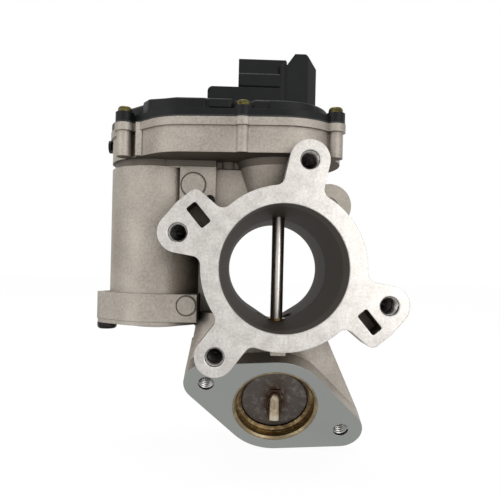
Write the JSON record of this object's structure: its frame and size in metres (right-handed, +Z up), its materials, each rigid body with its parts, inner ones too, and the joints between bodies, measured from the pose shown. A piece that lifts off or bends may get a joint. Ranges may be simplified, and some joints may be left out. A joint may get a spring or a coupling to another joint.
{
  "type": "egr valve",
  "caption": "Exhaust gas recirculation valve: cast air duct and gas elbow, slanted disc on a geared shaft, electric motor, spring return and plug-in connector.",
  "frame": {"origin": "centre of the air bore on the machined front face", "axes": "+X to the right seen from the front, +Y into the air duct, +Z up along the flap shaft towards the connector"},
  "size_m": [0.1294, 0.0702, 0.175],
  "materials": {
    "cast_aluminium": "cast, flanges milled",
    "seat_steel": "turned, heat tinted",
    "bronze": "sintered bronze",
    "bearing_steel": "ground",
    "seal_rubber": "moulded",
    "natural_plastic": "moulded",
    "spring_steel": "drawn wire",
    "ground_steel": "ground",
    "gear_plastic": "moulded, glass filled",
    "flap_steel": "stamped, heat tinted weld",
    "stamped_steel": "stamped",
    "magnet_black": "bonded magnet",
    "zinc_steel": "drawn, zinc coated",
    "black_plastic": "moulded",
    "carbon": "pressed carbon",
    "copper": "enamelled wire",
    "die_cast_cover": "die cast",
    "black_steel": "black coated",
    "yellow_zinc": "yellow zinc plated",
    "tinned_brass": "stamped, tin plated",
    "circuit_board": "coated",
    "chip_black": "moulded"
  },
  "bodies": {
    "housing": {"valve_body": "cast_aluminium", "seat_ring": "seat_steel", "lower_bush": "bronze", "upper_bearing": "bearing_steel", "shaft_seal": "seal_rubber", "spring_sleeve": "natural_plastic", "return_spring": "spring_steel", "idler_pin": "ground_steel", "motor_can": "zinc_steel", "motor_top_bearing": "bearing_steel", "motor_magnets": "magnet_black", "motor_end_cap": "black_plastic", "motor_rear_bush": "bronze", "motor_brushes": "carbon", "spring_washer": "spring_steel", "motor_cover": "die_cast_cover", "motor_cover_seal": "seal_rubber", "motor_cover_screws": "black_steel", "cover_gasket": "seal_rubber", "gear_cover": "black_plastic", "cover_screws": "yellow_zinc", "connector_terminals": "tinned_brass", "sensor_board": "circuit_board", "sensor_chip": "chip_black", "breather_plug": "black_plastic", "body_screw": "black_steel"},
    "flap": {"flap_shaft": "ground_steel", "flap_disc": "flap_steel", "sector_gear": "gear_plastic", "drive_plate": "stamped_steel", "shaft_nut": "stamped_steel", "sensor_magnet": "magnet_black"},
    "idler": {"idler_gear": "gear_plastic"},
    "rotor": {"motor_shaft": "ground_steel", "motor_pinion": "bronze", "armature_core": "stamped_steel", "armature_windings": "copper", "commutator": "copper"}
  },
  "joints": [
    {"name": "rotor_spin", "type": "hinge", "parent": "housing", "child": "rotor", "pos_m": [-0.05541, 0.04599, 0], "axis": [0, 0, 1], "range_deg": [0, 1226.6]},
    {"name": "idler_spin", "type": "hinge", "parent": "housing", "child": "idler", "pos_m": [-0.02856, 0.04004, 0], "axis": [0, 0, 1], "range_deg": [-310, 3]},
    {"name": "flap_turn", "type": "hinge", "parent": "housing", "child": "flap", "pos_m": [0, 0.035, 0], "axis": [0, 0, 1], "range_deg": [-1, 81], "stiffness_Nm_per_rad": 0.08, "springref_deg": -28.65, "deforming": ["return_spring"]}
  ],
  "couplings": [
    {"joint": "flap_turn", "follows": "rotor_spin", "ratio": 0.065217},
    {"joint": "idler_spin", "follows": "rotor_spin", "ratio": -0.25}
  ]
}
